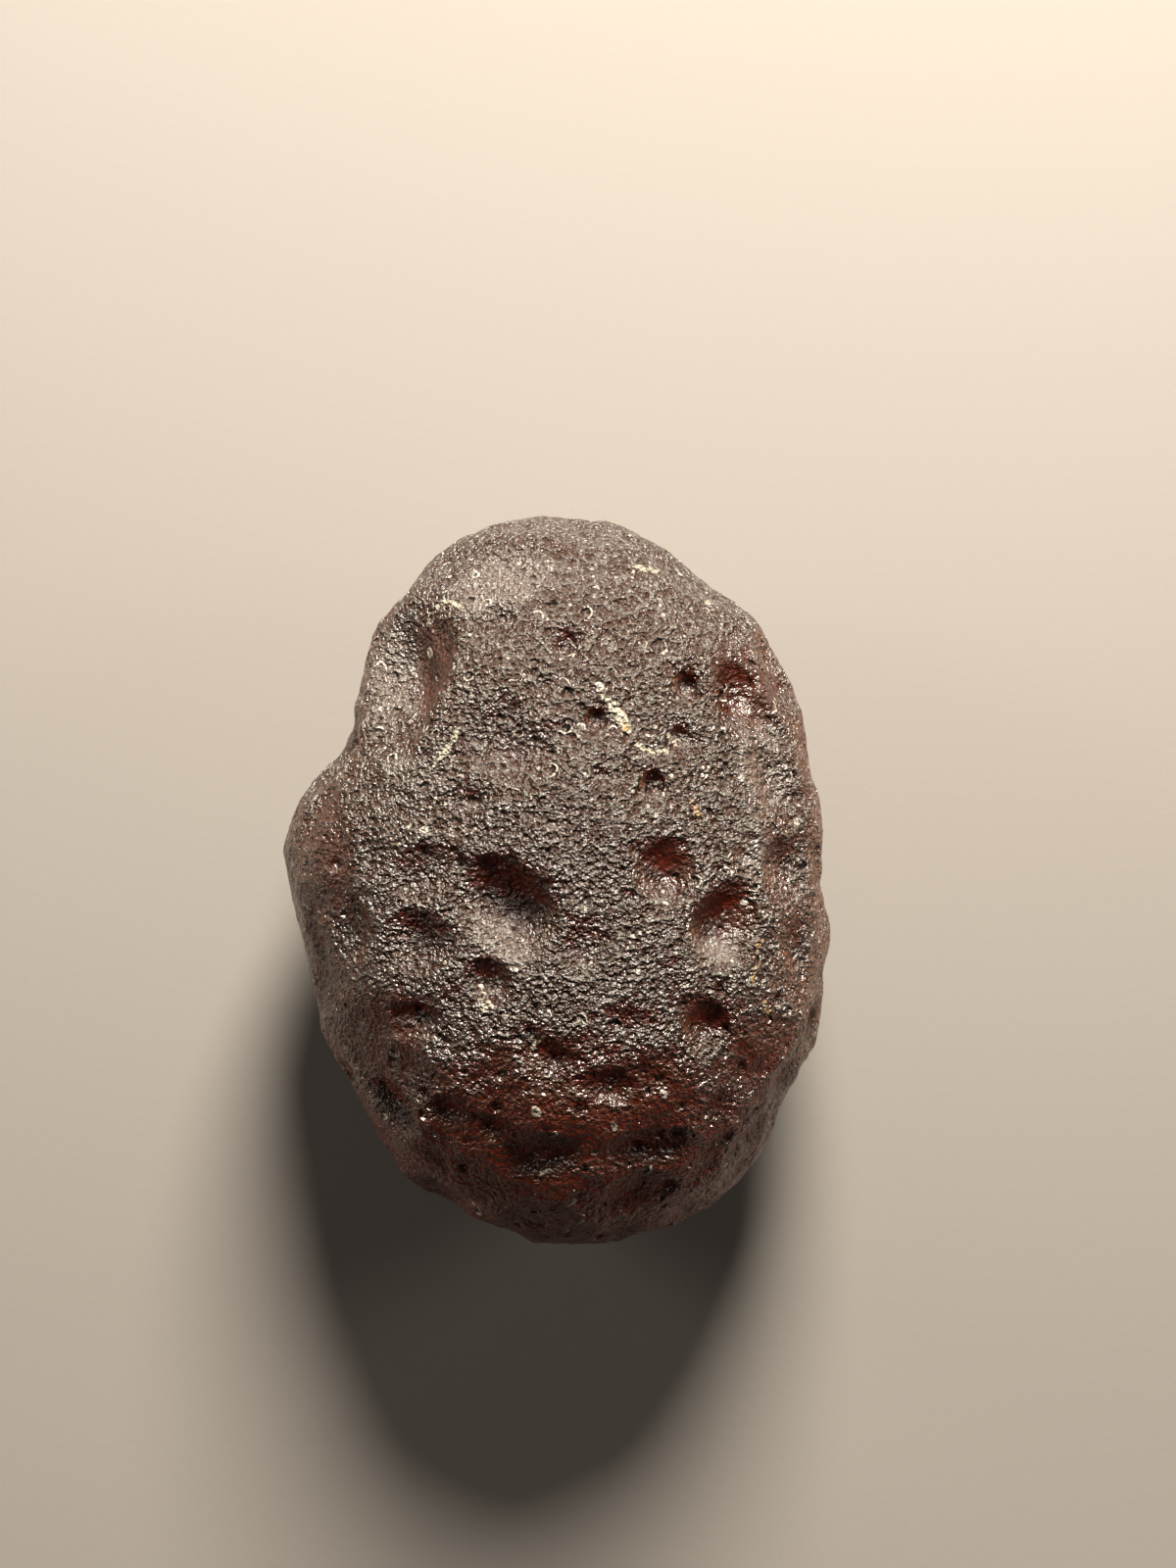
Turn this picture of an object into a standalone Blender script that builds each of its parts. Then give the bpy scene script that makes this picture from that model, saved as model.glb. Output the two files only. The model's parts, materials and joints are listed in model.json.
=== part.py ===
"""A tektite: one smoky brown lump of natural glass, egg-shaped in plan and pitted all over.

Metres, +Z up. The stone lies on its broad side, its long axis along Y, and rests on a small flat spot at z = 0
under the middle of its outline. Run it with: blender --background --python part.py
"""

import math
import random
from typing import NamedTuple

import bmesh
import bpy
import numpy as np
from mathutils import Vector, noise

MM = 0.001

# Driving dimensions, in millimetres
LENGTH, WIDTH, THICKNESS = 33.5, 25.1, 18.0
WIDEST_HEIGHT = 8.6  # height above the resting spot at which the outline is widest
FOOT_CUT = 0.24  # how much of the rounded underside the flat resting spot takes away
FULLNESS = 0.92  # 1 is an ellipse in side view, and less is a fuller, boxier one

# The outline seen from above, counter-clockwise from the right-hand side, as x and y in millimetres.
# A smooth closed curve runs through these points.
OUTLINE = [
    (12.10, 0.40),
    (11.90, 3.20),
    (11.00, 6.40),
    (10.40, 9.00),
    (9.10, 11.40),
    (7.20, 13.30),
    (4.60, 15.20),
    (2.00, 16.45),
    (-1.00, 16.72),
    (-3.60, 16.20),
    (-5.90, 14.65),
    (-7.60, 12.50),
    (-8.80, 10.00),
    (-9.30, 8.20),
    (-9.60, 6.80),
    (-10.30, 5.50),
    (-11.40, 4.45),
    (-12.25, 2.70),
    (-12.52, 0.60),
    (-12.05, -2.00),
    (-11.40, -4.60),
    (-10.95, -7.10),
    (-9.55, -9.60),
    (-8.10, -11.95),
    (-7.10, -13.50),
    (-5.10, -14.70),
    (-3.00, -15.75),
    (-0.60, -16.55),
    (2.00, -16.72),
    (5.30, -15.85),
    (7.60, -14.40),
    (9.00, -12.90),
    (9.95, -10.75),
    (11.20, -8.90),
    (11.95, -6.20),
    (12.25, -3.80),
    (12.52, -1.90),
]
CURVE_STEPS = 24  # points worked out along each stretch of the outline's curve

BLANK_SUBDIVISIONS = 7  # of the icosphere the stone is shaped from
KEPT_SHARE = 0.108  # of its faces, once the flat stretches are thinned out
FOOT_MARGIN = 1.0  # from the resting spot to the middle of the nearest hollow

# Broad swells of the surface: wavelength and height in millimetres
SWELLS = [(11.0, 0.40), (5.0, 0.22), (2.4, 0.12)]
# The hollows' outlines wander by this much, over this wavelength, so that none is a true ellipse
WANDER, WANDER_LENGTH = 0.5, 3.2
NOISE_SHIFT = Vector((7.3, 2.9, 4.1))  # between one pattern of noise and the next


# The finish, as linear red, green, blue and alpha
GLASS_COLOUR = (0.075, 0.048, 0.042, 1.0)
GLASS_ROUGHNESS = 0.45
GLASS_IOR = 1.50


class Hollow(NamedTuple):
    """One scooped dimple, in millimetres and degrees, as it looks from straight above."""

    x: float
    y: float
    half_x: float
    half_y: float
    turn: float
    depth: float
    rim: float  # 1 leaves a crisp edge, 2 a soft one


# The hollows of the upper side, from the top of the stone to its bottom end
UPPER_HOLLOWS = [
    Hollow(0.95, 15.6, 1.8, 0.8, 0, 0.30, 1.5),
    Hollow(-2.0, 14.3, 1.3, 1.0, 15, 0.35, 1.5),
    Hollow(5.3, 12.6, 1.7, 1.1, -35, 0.35, 1.6),
    Hollow(-2.75, 11.5, 1.4, 1.2, 0, 0.35, 1.5),
    Hollow(2.0, 10.5, 1.0, 0.8, 0, 0.25, 1.5),
    Hollow(0.3, 10.4, 0.60, 0.65, 0, 0.60, 1.1),
    Hollow(-6.8, 8.75, 2.4, 3.8, -10, 1.40, 1.1),
    Hollow(5.8, 8.6, 0.80, 0.85, 0, 0.90, 1.1),
    Hollow(8.0, 8.4, 1.2, 1.6, 5, 0.85, 1.1),
    Hollow(-2.4, 7.2, 0.9, 0.7, 0, 0.50, 1.2),
    Hollow(1.7, 7.05, 0.80, 0.70, -20, 0.55, 1.1),
    Hollow(9.4, 6.9, 1.1, 1.8, 25, 0.55, 1.3),
    Hollow(0.15, 6.5, 0.7, 0.6, 0, 0.35, 1.3),
    Hollow(5.3, 6.25, 0.85, 0.80, 0, 0.50, 1.2),
    Hollow(-1.65, 5.9, 2.6, 1.6, -12, 0.85, 1.2),
    Hollow(-9.7, 5.7, 1.1, 2.0, -35, 0.60, 1.4),
    Hollow(9.8, 4.3, 1.3, 2.3, 28, 0.80, 1.2),
    Hollow(4.15, 4.3, 0.75, 0.75, 0, 0.60, 1.1),
    Hollow(1.95, 4.6, 0.6, 0.5, 0, 0.30, 1.2),
    Hollow(-3.8, 3.5, 1.2, 0.8, 0, 0.45, 1.2),
    Hollow(-11.0, 3.25, 1.1, 2.0, -25, 0.40, 1.4),
    Hollow(8.2, 1.3, 0.9, 0.8, 0, 0.35, 1.3),
    Hollow(-8.2, 1.1, 1.1, 0.9, 0, 0.30, 1.4),
    Hollow(10.1, 0.8, 1.5, 1.9, 0, 0.65, 1.2),
    Hollow(-5.8, 0.5, 2.3, 1.3, 5, 0.60, 1.2),
    Hollow(4.5, 0.15, 1.4, 1.45, 0, 1.10, 1.1),
    Hollow(-2.2, -1.0, 2.8, 1.9, -36, 1.20, 1.1),
    Hollow(7.1, -2.0, 1.85, 1.9, 0, 1.25, 1.1),
    Hollow(12.1, -2.0, 0.6, 1.7, 0, 0.35, 1.3),
    Hollow(-9.1, -2.2, 1.1, 1.7, 0, 0.45, 1.3),
    Hollow(-6.15, -2.7, 2.1, 1.4, 8, 0.65, 1.2),
    Hollow(0.9, -2.85, 1.1, 0.9, 0, 0.45, 1.2),
    Hollow(-10.9, -3.0, 0.8, 2.2, -5, 0.30, 1.5),
    Hollow(10.7, -2.9, 1.0, 1.7, 0, 0.45, 1.3),
    Hollow(6.3, -4.0, 0.7, 1.0, 0, 0.30, 1.3),
    Hollow(-3.05, -4.4, 1.1, 1.15, 10, 0.75, 1.1),
    Hollow(-6.2, -5.9, 1.3, 1.1, 0, 0.50, 1.2),
    Hollow(3.05, -6.1, 1.3, 0.9, 0, 0.40, 1.3),
    Hollow(6.6, -6.35, 1.3, 1.3, 0, 0.60, 1.2),
    Hollow(-0.6, -7.4, 1.5, 1.0, -10, 0.35, 1.4),
    Hollow(2.2, -8.9, 1.4, 1.0, 0, 0.45, 1.3),
    Hollow(10.3, -9.0, 1.3, 1.9, -25, 0.40, 1.4),
    Hollow(-7.4, -9.9, 1.1, 2.1, 35, 0.60, 1.2),
    Hollow(-4.9, -10.0, 1.3, 0.9, 0, 0.45, 1.3),
    Hollow(7.3, -10.1, 1.0, 0.8, 0, 0.35, 1.3),
    Hollow(-2.7, -10.8, 0.8, 0.7, 0, 0.35, 1.3),
    Hollow(-1.1, -12.0, 2.0, 1.4, 0, 0.50, 1.3),
    Hollow(3.75, -11.9, 2.2, 1.3, 5, 0.55, 1.2),
    Hollow(8.6, -12.0, 1.2, 1.7, -35, 0.55, 1.2),
    Hollow(3.1, -14.0, 2.2, 1.2, 8, 0.40, 1.3),
    Hollow(-4.6, -14.2, 2.2, 0.9, -27, 0.50, 1.2),
    Hollow(-0.9, -14.9, 1.5, 1.0, 0, 0.35, 1.4),
]
PLAN_LEAN = 1.0  # how far these are scooped straight down rather than along the surface's own normal
BOWL_REACH = 3.0  # of its larger half width, past which a hollow changes nothing
TURN_AWAY, TURN_AWAY_START = 3.0, 0.5  # how fast a hollow fades where the surface turns away from its scoop

# The hollows of the sides and the underside repeat the same sizes in no order
HIDDEN_HOLLOWS = 105
HIDDEN_SEED = 11
HIDDEN_TRIES = 2100  # at finding a free place for one of them
HIDDEN_HALF_WIDTHS = (0.8, 2.4)  # millimetres, smallest and largest
HIDDEN_DEPTH_SHARE = (0.25, 0.42)  # of the half width
HIDDEN_STRETCH = (0.75, 1.3)  # of the other half width
HIDDEN_RIM = (1.1, 1.6)
HIDDEN_SPACING = 0.85  # of the sum of two hollows' half widths, which may so overlap a little
HIDDEN_TOP = 2.6  # millimetres above the widest height at which they begin
OUTLINE_BAND = 3.2  # millimetres each side of the widest height, where they are shallower
OUTLINE_DEPTH = 0.32  # of their depth is left to them at the widest height itself
MERGE_POWER = 3.0  # how sharply two overlapping hollows keep their own bowls


def clear_scene():
    for thing in list(bpy.data.objects):
        bpy.data.objects.remove(thing)


def collection_named(name):
    group = bpy.data.collections.new(name)
    bpy.context.scene.collection.children.link(group)
    return group


def smooth_closed_curve(points, steps):
    """Points along a Catmull-Rom curve that passes through each given point in turn."""
    ring = np.array(points, float)
    before, after = np.roll(ring, 1, axis=0), np.roll(ring, -1, axis=0)
    beyond = np.roll(ring, -2, axis=0)
    share = np.linspace(0, 1, steps, endpoint=False)[None, :, None]
    p0, p1, p2, p3 = (part[:, None, :] for part in (before, ring, after, beyond))
    bend = 2 * p0 - 5 * p1 + 4 * p2 - p3
    twist = 3 * p1 - p0 - 3 * p2 + p3
    curve = 0.5 * (2 * p1 + (p2 - p0) * share + bend * share**2 + twist * share**3)
    return curve.reshape(-1, 2)


def outline_reach(angles):
    """How far the outline lies from the middle in each direction, in millimetres."""
    curve = smooth_closed_curve(OUTLINE, CURVE_STEPS)
    around = np.arctan2(curve[:, 1], curve[:, 0])
    return np.interp(angles, *sorted_by(around, np.hypot(curve[:, 0], curve[:, 1])), period=2 * math.pi)


def sorted_by(keys, values):
    order = np.argsort(keys)
    return keys[order], values[order]


def egg_points(directions):
    """Unit directions turned into points of the smooth stone, in millimetres."""
    x, y, z = directions.T
    level = np.hypot(x, y)
    reach = outline_reach(np.arctan2(y, x)) * level**FULLNESS / np.maximum(level, 1e-9)
    upper, lower = THICKNESS - WIDEST_HEIGHT, WIDEST_HEIGHT + FOOT_CUT
    height = np.sign(z) * np.abs(z) ** FULLNESS * np.where(z > 0, upper, lower)
    return np.column_stack([x * reach, y * reach, WIDEST_HEIGHT + height])


def smooth_noise(points, wavelength, number):
    """Values within about 0.5 of nothing, smooth over the wavelength, in another pattern for each number."""
    return np.array([noise.noise(Vector(point) / wavelength + NOISE_SHIFT * number) for point in points])


def swell_heights(points):
    """The broad unevenness of the whole surface, in millimetres."""
    layers = enumerate(SWELLS, start=1)
    return sum(height * smooth_noise(points, wavelength, number) for number, (wavelength, height) in layers)


def wandered(points):
    """The points moved about by a smooth noise, in which the bowls are then drawn."""
    first = len(SWELLS) + 1
    moves = [smooth_noise(points, WANDER_LENGTH, number) for number in range(first, first + 3)]
    return points + WANDER * np.column_stack(moves)


def unit(vector):
    return vector / np.linalg.norm(vector)


def bowl_depths(points, normals, middle, facing, hollow):
    """Depth of one hollow at each point, where facing is the direction from which it is scooped."""
    seen_end_on = abs(facing[1]) > 0.9
    along = unit(np.cross(facing, (0.0, 0.0, 1.0) if seen_end_on else (0.0, -1.0, 0.0)))
    across = np.cross(facing, along)
    turn = math.radians(hollow.turn)
    offset = points - middle
    u = offset @ (math.cos(turn) * along + math.sin(turn) * across) / hollow.half_x
    v = offset @ (math.cos(turn) * across - math.sin(turn) * along) / hollow.half_y
    inside = np.clip(1 - u**2 - v**2, 0, 1)
    same_side = np.clip(TURN_AWAY * (normals @ facing) + TURN_AWAY_START, 0, 1)
    return hollow.depth * inside**hollow.rim * same_side


def upper_hollows(points):
    """The hollows of the upper side, each with the vertex it is centred on."""
    above = points[:, 2] > WIDEST_HEIGHT - 1
    for hollow in UPPER_HOLLOWS:
        gaps = np.hypot(points[:, 0] - hollow.x, points[:, 1] - hollow.y)
        yield int(np.argmin(np.where(above, gaps, np.inf))), hollow


def hidden_hollows(points):
    """Spaced hollows for the sides and underside, each with the vertex it is centred on."""
    chance = random.Random(HIDDEN_SEED)
    heights, from_middle = points[:, 2], np.hypot(points[:, 0], points[:, 1])
    clear_of_foot = (heights > WIDEST_HEIGHT / 2) | (from_middle > foot_reach() + FOOT_MARGIN)
    free = np.flatnonzero((heights < WIDEST_HEIGHT + HIDDEN_TOP) & clear_of_foot).tolist()
    placed = []
    for _ in range(HIDDEN_TRIES):
        vertex = chance.choice(free)
        size = chance.uniform(*HIDDEN_HALF_WIDTHS)
        gaps = [np.linalg.norm(points[vertex] - points[other]) for other, _ in placed]
        spaced = all(gap > HIDDEN_SPACING * (size + near.half_x) for gap, (_, near) in zip(gaps, placed))
        if spaced and len(placed) < HIDDEN_HOLLOWS:
            half_y = size * chance.uniform(*HIDDEN_STRETCH)
            off_outline = min(1, abs(heights[vertex] - WIDEST_HEIGHT) / OUTLINE_BAND)
            kept_depth = OUTLINE_DEPTH + (1 - OUTLINE_DEPTH) * off_outline
            depth = size * kept_depth * chance.uniform(*HIDDEN_DEPTH_SHARE)
            turn, rim = chance.uniform(0, 180), chance.uniform(*HIDDEN_RIM)
            placed.append((vertex, Hollow(0, 0, size, half_y, turn, depth, rim)))
    return placed


def foot_reach():
    """Roughly how far the resting spot reaches from the middle, in millimetres."""
    share = math.sqrt(1 - (WIDEST_HEIGHT / (WIDEST_HEIGHT + FOOT_CUT)) ** 2)
    return share * (LENGTH + WIDTH) / 4


def hollow_depths(points, normals):
    """Depth of all the hollows together at each point, in millimetres."""
    drawn = wandered(points)
    scooped = [(vertex, PLAN_LEAN, hollow) for vertex, hollow in upper_hollows(points)]
    scooped += [(vertex, 0.0, hollow) for vertex, hollow in hidden_hollows(points)]
    total = np.zeros(len(points))
    for vertex, lean, hollow in scooped:
        facing = unit(normals[vertex] + lean * np.array([0.0, 0.0, 1.0]))
        reach = BOWL_REACH * max(hollow.half_x, hollow.half_y)
        near = np.linalg.norm(points - points[vertex], axis=1) < reach
        depths = bowl_depths(drawn[near], normals[near], drawn[vertex], facing, hollow)
        total[near] += depths**MERGE_POWER
    return total ** (1 / MERGE_POWER)


def vertex_array(mesh, what):
    numbers = np.empty(len(mesh.vertices) * 3, np.float32)
    getattr(mesh, what).foreach_get("co" if what == "vertices" else "vector", numbers)
    return numbers.reshape(-1, 3).astype(float)


def set_points(mesh, points_mm):
    mesh.vertices.foreach_set("co", (points_mm * MM).astype(np.float32).ravel())
    mesh.update()


def shaped_stone(group):
    """The stone with its swells and hollows, its triangles thinned out where it is smooth."""
    bpy.ops.mesh.primitive_ico_sphere_add(subdivisions=BLANK_SUBDIVISIONS, radius=1)
    stone = bpy.context.object
    stone.name = stone.data.name = "tektite"
    for owner in stone.users_collection:
        owner.objects.unlink(stone)
    group.objects.link(stone)
    directions = vertex_array(stone.data, "vertices")
    egg = egg_points(directions / np.linalg.norm(directions, axis=1, keepdims=True))
    set_points(stone.data, egg)
    normals = vertex_array(stone.data, "vertex_normals")
    relief = swell_heights(egg) - hollow_depths(egg, normals)
    set_points(stone.data, egg + normals * relief[:, None])
    thin_out(stone, KEPT_SHARE)
    return stone


def thin_out(stone, share):
    """Collapses edges where the surface is nearly flat, so that the hollows keep most of the triangles."""
    decimate = stone.modifiers.new("fewer_triangles", "DECIMATE")
    decimate.ratio = share
    bpy.context.view_layer.update()
    graph = bpy.context.evaluated_depsgraph_get()
    thinned = bpy.data.meshes.new_from_object(stone.evaluated_get(graph))
    stone.modifiers.clear()
    stone.data = thinned
    thinned.name = "tektite"


def cut_resting_spot(stone):
    """Cuts the underside flat at z = 0 and closes the cut with one face."""
    shape = bmesh.new()
    shape.from_mesh(stone.data)
    cut = bmesh.ops.bisect_plane(
        shape,
        geom=shape.verts[:] + shape.edges[:] + shape.faces[:],
        dist=1e-6,
        plane_co=(0, 0, 0),
        plane_no=(0, 0, -1),
        clear_outer=True,
    )
    rim = [item for item in cut["geom_cut"] if isinstance(item, bmesh.types.BMEdge)]
    bmesh.ops.holes_fill(shape, edges=rim, sides=0)
    bmesh.ops.recalc_face_normals(shape, faces=shape.faces[:])
    shape.to_mesh(stone.data)
    shape.free()


def fit_to_size(stone):
    """Stretches the stone by the last few parts in a hundred, and centres it over its resting spot."""
    points = vertex_array(stone.data, "vertices") / MM
    low, high = points.min(axis=0), points.max(axis=0)
    middle = np.array([*(low + high)[:2] / 2, low[2]])
    set_points(stone.data, (points - middle) * (np.array([WIDTH, LENGTH, THICKNESS]) / (high - low)))


def smoky_glass():
    """Natural glass, dark smoky brown, with an etched skin that is dull rather than shiny."""
    glass = bpy.data.materials.new("smoky_glass")
    glass.use_nodes = True
    glass.diffuse_color = GLASS_COLOUR
    shader = glass.node_tree.nodes["Principled BSDF"]
    shader.inputs["Base Color"].default_value = GLASS_COLOUR
    shader.inputs["Roughness"].default_value = GLASS_ROUGHNESS
    shader.inputs["Metallic"].default_value = 0.0
    shader.inputs["IOR"].default_value = GLASS_IOR
    return glass


def main():
    clear_scene()
    group = collection_named("tektite_stone")
    stone = shaped_stone(group)
    cut_resting_spot(stone)
    fit_to_size(stone)
    stone.data.materials.append(smoky_glass())
    stone.data.shade_smooth()


main()
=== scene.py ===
# %% [markdown]
# # A pitted lump of natural glass
#
# A tektite is glass that an impact melted out of the ground and threw through the air. It set as one smoky
# brown drop, and ages in the soil then etched its skin: big scooped hollows, small round pits with sharp
# lips, tiny crescent nicks, and a fine grain over everything that makes the glass look grey and dull.
# Inside the hollows the skin is smoother, so they look dark and reddish, and thin edges let light through.
#
# The plan: take the solid of the stone as the blank, give it a fine even mesh, press the pits into it, and
# then leave everything finer than a mesh can carry to the material.

# %% Load the stone's frame
import json
import math
import bpy
import numpy as np
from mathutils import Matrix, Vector

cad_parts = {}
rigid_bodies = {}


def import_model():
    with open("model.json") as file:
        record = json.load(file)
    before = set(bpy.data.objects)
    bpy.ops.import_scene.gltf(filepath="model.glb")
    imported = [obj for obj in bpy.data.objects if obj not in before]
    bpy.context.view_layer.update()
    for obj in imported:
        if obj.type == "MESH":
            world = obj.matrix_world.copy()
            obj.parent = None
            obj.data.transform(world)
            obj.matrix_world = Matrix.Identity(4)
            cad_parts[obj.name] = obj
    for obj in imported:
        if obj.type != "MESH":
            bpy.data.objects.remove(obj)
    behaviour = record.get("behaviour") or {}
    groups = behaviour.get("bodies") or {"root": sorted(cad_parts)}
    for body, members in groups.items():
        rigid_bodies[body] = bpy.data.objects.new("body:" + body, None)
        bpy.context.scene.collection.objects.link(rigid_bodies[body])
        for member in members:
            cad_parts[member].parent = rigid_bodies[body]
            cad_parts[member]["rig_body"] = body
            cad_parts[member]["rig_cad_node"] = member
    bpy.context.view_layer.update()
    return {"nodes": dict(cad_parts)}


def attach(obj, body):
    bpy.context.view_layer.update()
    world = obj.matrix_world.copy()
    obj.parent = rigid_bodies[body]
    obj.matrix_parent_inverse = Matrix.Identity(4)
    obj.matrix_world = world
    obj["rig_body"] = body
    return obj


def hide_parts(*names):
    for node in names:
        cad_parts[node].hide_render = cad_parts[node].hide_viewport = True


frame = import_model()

stone_node = frame["nodes"]["tektite"]

# %% [markdown]
# ## The camera
#
# The stone is seen from straight above, from about 15 cm, and fills the middle of an upright picture. A
# camera can be aimed by trial, but here its place follows from two sizes: how many picture points one
# millimetre of the stone's widest outline takes, and where in the picture the stone's middle lies. The
# camera stands a little beside the stone and looks straight down, so the stone sits off the middle of the
# picture with no lens shift.

# %% Camera
MM = 0.001
PICTURE_WIDTH, PICTURE_HEIGHT = 1200, 1600
POINTS_PER_MM = 22.2
STONE_MIDDLE = (568.5, 898)
WIDEST_HEIGHT = 9.0 * MM
CAMERA_ABOVE = 150 * MM
NEAREST_SEEN = 1 * MM
SENSOR = 36.0

point = MM / POINTS_PER_MM
camera_x = (PICTURE_WIDTH / 2 - STONE_MIDDLE[0]) * point
camera_y = (STONE_MIDDLE[1] - PICTURE_HEIGHT / 2) * point
bpy.ops.object.camera_add(location=(camera_x, camera_y, WIDEST_HEIGHT + CAMERA_ABOVE), rotation=(0, 0, 0))
camera = bpy.context.object
camera.name = "camera_above"
camera.data.sensor_width = SENSOR
camera.data.lens = SENSOR * CAMERA_ABOVE / (PICTURE_HEIGHT * point)
camera.data.clip_start = NEAREST_SEEN
bpy.context.scene.camera = camera
print("lens, mm:", round(camera.data.lens, 1))

# %% [markdown]
# ## A helper for nodes and one for colours
#
# Every material below is built from nodes. One small function adds a node, sets its values and makes its
# links, so that each finish reads as a list. Colours are written the way a colour picker shows them, and
# one function turns them into the linear values that light works with.

# %% Helpers for materials


def linear(hex_colour):
    """An sRGB colour such as "#6b5a4f" as linear red, green, blue and alpha."""
    channels = [int(hex_colour[i : i + 2], 16) / 255 for i in (1, 3, 5)]
    return [c / 12.92 if c <= 0.04045 else ((c + 0.055) / 1.055) ** 2.4 for c in channels] + [1.0]


def add_node(material, kind, settings=None, **inputs):
    """Adds a node. settings are its properties. inputs are its sockets' values, or sockets that feed them."""
    node = material.node_tree.nodes.new(kind)
    for name, value in (settings or {}).items():
        setattr(node, name, value)
    for name, value in inputs.items():
        socket = node.inputs[int(name[1:])] if name[1:].isdigit() else node.inputs[name.replace("_", " ")]
        if isinstance(value, bpy.types.NodeSocket):
            material.node_tree.links.new(value, socket)
        else:
            socket.default_value = value
    return node


def new_material(name):
    """An empty node material and its output node."""
    material = bpy.data.materials.new(name)
    material.use_nodes = True
    material.node_tree.nodes.clear()
    return material, add_node(material, "ShaderNodeOutputMaterial")


# %% [markdown]
# ## The floor
#
# Product pictures of small stones are taken on a sheet of matt paper. A plane much larger than the stone is
# enough, with a very slight tooth so that it isn't a dead flat colour.

# %% Floor
FLOOR_SIZE = 2.0
TOOTH_WIDTH = 0.4 * MM
TOOTH_DEPTH = 0.02 * MM
TOOTH_STRENGTH = 0.4
PAPER_ROUGHNESS = 0.9
PAPER_COLOUR = "#6a6259"

bpy.ops.mesh.primitive_plane_add(size=FLOOR_SIZE, location=(0, 0, 0))
floor = bpy.context.object
floor.name = "paper_floor"
paper, paper_out = new_material("matt_paper")
paper_coords = add_node(paper, "ShaderNodeTexCoord")
paper_tooth = add_node(
    paper, "ShaderNodeTexNoise", Vector=paper_coords.outputs["Object"], Scale=1 / TOOTH_WIDTH, Detail=4.0
)
paper_bump = add_node(
    paper, "ShaderNodeBump", Height=paper_tooth.outputs["Fac"], Distance=TOOTH_DEPTH, Strength=TOOTH_STRENGTH
)
paper_shader = add_node(
    paper,
    "ShaderNodeBsdfPrincipled",
    Base_Color=linear(PAPER_COLOUR),
    Roughness=PAPER_ROUGHNESS,
    Normal=paper_bump.outputs["Normal"],
)
paper.node_tree.links.new(paper_shader.outputs["BSDF"], paper_out.inputs["Surface"])
floor.data.materials.append(paper)

# %% [markdown]
# ## Light
#
# One broad soft light stands beyond the stone's far end, above it and a little to the right, so that every
# slope facing the far end catches it and every slope facing the near end falls dark. That is what makes the
# hollows readable. A weaker one from each side and a dim sky fill the shadows.

# %% Lights
LAMP_COLOUR = "#fffdf8"
SKY_STRENGTH = 0.03


def soft_light(name, place_mm, size_mm, watts):
    """A round area light at a place, aimed at the stone."""
    bpy.ops.object.light_add(type="AREA", location=[c * MM for c in place_mm])
    light = bpy.context.object
    light.name = name
    light.data.shape = "DISK"
    light.data.size = size_mm * MM
    light.data.energy = watts
    light.data.color = linear(LAMP_COLOUR)[:3]
    aim = Vector((0, 0, WIDEST_HEIGHT)) - light.location
    light.rotation_euler = aim.to_track_quat("-Z", "Y").to_euler()


soft_light("main_light", place_mm=(27, 175, 124), size_mm=86, watts=3.10)
soft_light("left_light", place_mm=(-220, 90, 110), size_mm=80, watts=0.28)
soft_light("right_light", place_mm=(220, 60, 110), size_mm=80, watts=0.20)
sky = bpy.data.worlds.new("dim_sky")
sky.use_nodes = True
sky.node_tree.nodes["Background"].inputs["Color"].default_value = linear("#ffffff")
sky.node_tree.nodes["Background"].inputs["Strength"].default_value = SKY_STRENGTH
bpy.context.scene.world = sky
bpy.context.scene.view_settings.view_transform = "Standard"

# %% [markdown]
# ## The blank
#
# The solid has about nine thousand triangles, which is right for its big hollows and far too few for its
# skin. A copy of it is merged, because its triangles are loose, and subdivided once so that its facets
# round off. A voxel remesh then gives small square faces of one size everywhere, on which any later pit has
# the same resolution, and a light smoothing takes away the steps that its grid leaves.

# %% Blank
SKIN_FACE = 0.150 * MM
MERGE_WITHIN = 0.001 * MM
SMOOTH_FACTOR = 0.5
FIRST_SMOOTHING = 4


def deselect_all():
    for thing in bpy.context.selected_objects:
        thing.select_set(False)


def apply_modifier(piece, kind, **settings):
    """Adds a modifier with its settings to the active piece and applies it."""
    modifier = piece.modifiers.new(kind.lower(), kind)
    for name, value in settings.items():
        setattr(modifier, name, value)
    bpy.ops.object.modifier_apply(modifier=modifier.name)


deselect_all()
stone = stone_node.copy()
stone.data = stone_node.data.copy()
stone.name = stone.data.name = "glass_stone"
stone.parent = None
bpy.context.scene.collection.objects.link(stone)
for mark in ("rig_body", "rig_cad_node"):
    if mark in stone:
        del stone[mark]
stone.select_set(True)
bpy.context.view_layer.objects.active = stone
bpy.ops.object.mode_set(mode="EDIT")
bpy.ops.mesh.select_all(action="SELECT")
bpy.ops.mesh.remove_doubles(threshold=MERGE_WITHIN)
bpy.ops.object.mode_set(mode="OBJECT")
apply_modifier(stone, "SUBSURF", levels=1, render_levels=1)
apply_modifier(stone, "REMESH", mode="VOXEL", voxel_size=SKIN_FACE, use_smooth_shade=True)
apply_modifier(stone, "SMOOTH", factor=SMOOTH_FACTOR, iterations=FIRST_SMOOTHING)
print("faces of the even mesh:", len(stone.data.polygons))

# %% [markdown]
# ## Where the hollows are
#
# The skin of the hollows differs from the skin between them, so every later step has to know where they
# are. The stone is copied and smoothed until its hollows are nearly gone. How far the skin lies below that
# smooth copy is a measure of the hollow, and it is kept on the mesh as an attribute, which both the
# modelling and the material read.

# %% Hollow attribute
HOLLOW_SMOOTHING = 400
FULL_HOLLOW = 0.40 * MM


def points_of(mesh):
    numbers = np.empty(3 * len(mesh.vertices), np.float32)
    mesh.vertices.foreach_get("co", numbers)
    return numbers.reshape(-1, 3)


def normals_of(mesh):
    numbers = np.empty(3 * len(mesh.vertices), np.float32)
    mesh.vertex_normals.foreach_get("vector", numbers)
    return numbers.reshape(-1, 3)


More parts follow.
